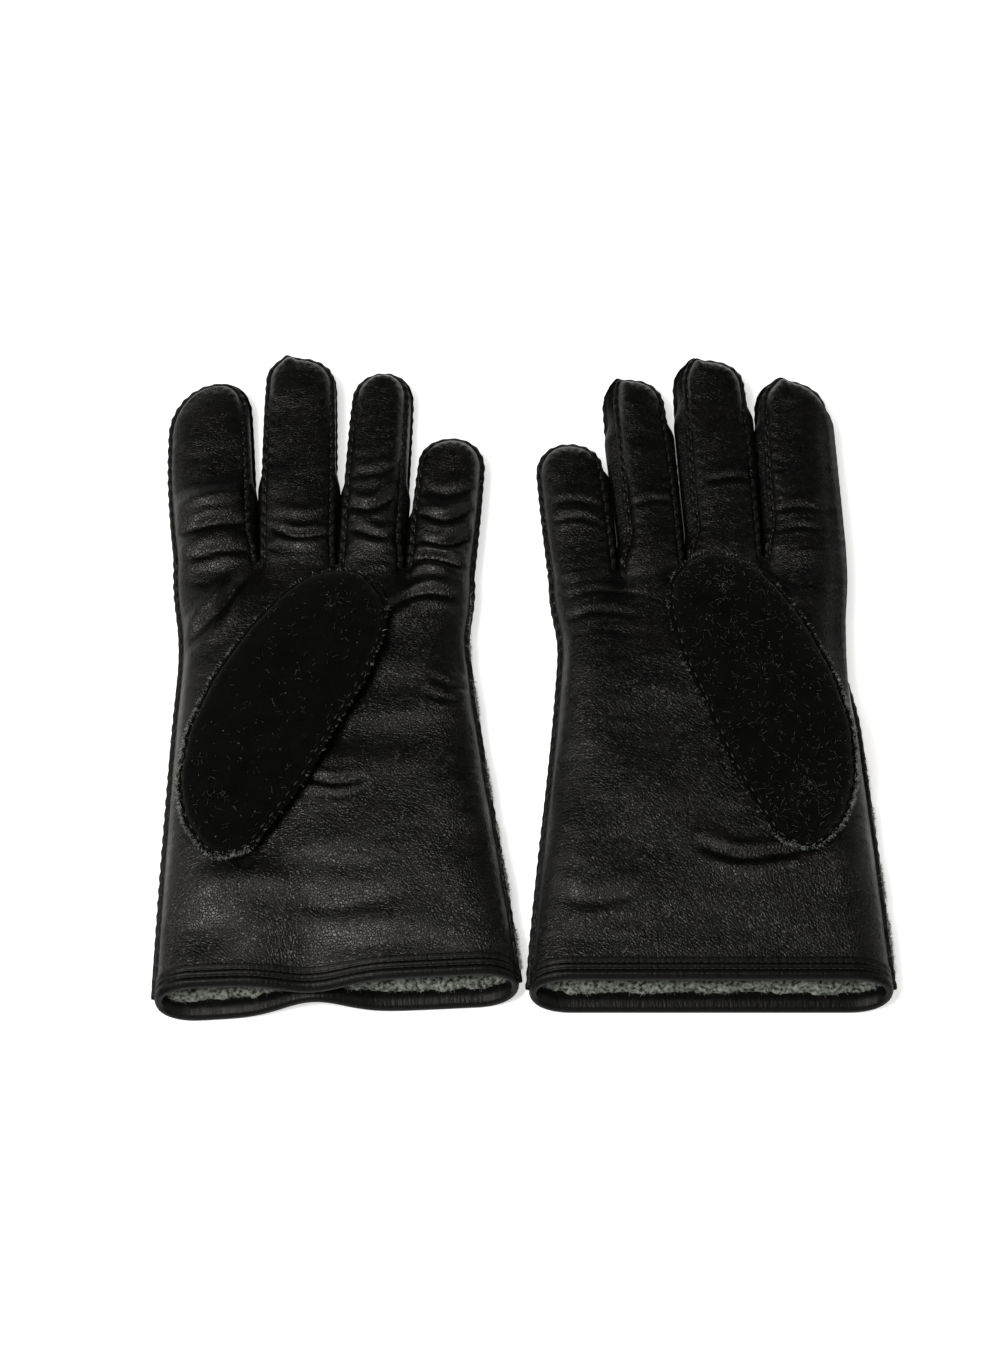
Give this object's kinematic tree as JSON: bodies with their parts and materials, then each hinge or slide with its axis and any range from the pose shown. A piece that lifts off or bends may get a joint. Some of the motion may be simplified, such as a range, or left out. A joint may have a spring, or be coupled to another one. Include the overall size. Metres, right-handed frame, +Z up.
{
  "type": "leather gloves",
  "caption": "Pair of lined hand-sewn leather gloves lying palm up, thumbs folded over the palms, with hinged fingers and thumbs.",
  "frame": {"origin": "middle of the pair's footprint, on the surface that it lies on", "axes": "+X from the left glove to the right glove, +Y towards the fingertips, +Z up, out of the palms"},
  "size_m": [0.2632, 0.2645, 0.0318],
  "materials": {
    "nappa": "soft sheen",
    "suede": "matt nap",
    "binding_leather": "satin",
    "fleece_lining": "wool pile"
  },
  "bodies": {
    "left_hand": {"left_palm_panel": "nappa", "left_back_panel": "nappa", "left_palm_lining": "fleece_lining", "left_back_lining": "fleece_lining", "left_cuff_binding": "binding_leather", "left_thumb_root": "suede", "left_thumb_root_lining": "fleece_lining"},
    "left_index": {"left_index_palm_side": "nappa", "left_index_back_side": "nappa", "left_index_lining": "fleece_lining", "left_index_fourchette_to_middle": "nappa"},
    "left_middle": {"left_middle_palm_side": "nappa", "left_middle_back_side": "nappa", "left_middle_lining": "fleece_lining", "left_middle_fourchette_to_index": "nappa", "left_middle_fourchette_to_ring": "nappa"},
    "left_ring": {"left_ring_palm_side": "nappa", "left_ring_back_side": "nappa", "left_ring_lining": "fleece_lining", "left_ring_fourchette_to_middle": "nappa", "left_ring_fourchette_to_pinky": "nappa"},
    "left_pinky": {"left_pinky_palm_side": "nappa", "left_pinky_back_side": "nappa", "left_pinky_lining": "fleece_lining", "left_pinky_fourchette_to_ring": "nappa"},
    "left_thumb": {"left_thumb_back": "suede", "left_thumb_front": "nappa", "left_thumb_lining": "fleece_lining"},
    "right_hand": {"right_palm_panel": "nappa", "right_back_panel": "nappa", "right_palm_lining": "fleece_lining", "right_back_lining": "fleece_lining", "right_cuff_binding": "binding_leather", "right_thumb_root": "suede", "right_thumb_root_lining": "fleece_lining"},
    "right_index": {"right_index_palm_side": "nappa", "right_index_back_side": "nappa", "right_index_lining": "fleece_lining", "right_index_fourchette_to_middle": "nappa"},
    "right_middle": {"right_middle_palm_side": "nappa", "right_middle_back_side": "nappa", "right_middle_lining": "fleece_lining", "right_middle_fourchette_to_index": "nappa", "right_middle_fourchette_to_ring": "nappa"},
    "right_ring": {"right_ring_palm_side": "nappa", "right_ring_back_side": "nappa", "right_ring_lining": "fleece_lining", "right_ring_fourchette_to_middle": "nappa", "right_ring_fourchette_to_pinky": "nappa"},
    "right_pinky": {"right_pinky_palm_side": "nappa", "right_pinky_back_side": "nappa", "right_pinky_lining": "fleece_lining", "right_pinky_fourchette_to_ring": "nappa"},
    "right_thumb": {"right_thumb_back": "suede", "right_thumb_front": "nappa", "right_thumb_lining": "fleece_lining"}
  },
  "joints": [
    {"name": "left_index_bend", "type": "hinge", "parent": "left_hand", "child": "left_index", "pos_m": [-0.11101, 0.04187, 0.0155], "axis": [0.9982, -0.0607, 0], "range_deg": [0, 80]},
    {"name": "left_middle_bend", "type": "hinge", "parent": "left_hand", "child": "left_middle", "pos_m": [-0.08003, 0.03999, 0.0155], "axis": [0.9982, -0.0607, 0], "range_deg": [0, 80]},
    {"name": "left_ring_bend", "type": "hinge", "parent": "left_hand", "child": "left_ring", "pos_m": [-0.05282, 0.03834, 0.0155], "axis": [0.9982, -0.0607, 0], "range_deg": [0, 80]},
    {"name": "left_pinky_bend", "type": "hinge", "parent": "left_hand", "child": "left_pinky", "pos_m": [-0.02686, 0.03676, 0.0155], "axis": [0.9982, -0.0607, 0], "range_deg": [0, 80]},
    {"name": "left_thumb_bend", "type": "hinge", "parent": "left_hand", "child": "left_thumb", "pos_m": [-0.09013, -0.03502, 0.0318], "axis": [0.9191, -0.3939, 0], "range_deg": [0, 75]},
    {"name": "right_index_bend", "type": "hinge", "parent": "right_hand", "child": "right_index", "pos_m": [0.10985, 0.04463, 0.0155], "axis": [0.994, 0.1093, 0], "range_deg": [0, 80]},
    {"name": "right_middle_bend", "type": "hinge", "parent": "right_hand", "child": "right_middle", "pos_m": [0.079, 0.04124, 0.0155], "axis": [0.994, 0.1093, 0], "range_deg": [0, 80]},
    {"name": "right_ring_bend", "type": "hinge", "parent": "right_hand", "child": "right_ring", "pos_m": [0.0519, 0.03826, 0.0155], "axis": [0.994, 0.1093, 0], "range_deg": [0, 80]},
    {"name": "right_pinky_bend", "type": "hinge", "parent": "right_hand", "child": "right_pinky", "pos_m": [0.02605, 0.03541, 0.0155], "axis": [0.994, 0.1093, 0], "range_deg": [0, 80]},
    {"name": "right_thumb_bend", "type": "hinge", "parent": "right_hand", "child": "right_thumb", "pos_m": [0.09523, -0.03078, 0.0318], "axis": [0.9588, 0.284, 0], "range_deg": [0, 75]},
    {"name": "right_glove_slide", "type": "slide", "parent": "left_hand", "child": "right_hand", "axis": [1, 0, 0], "range_m": [0, 0.15]}
  ]
}
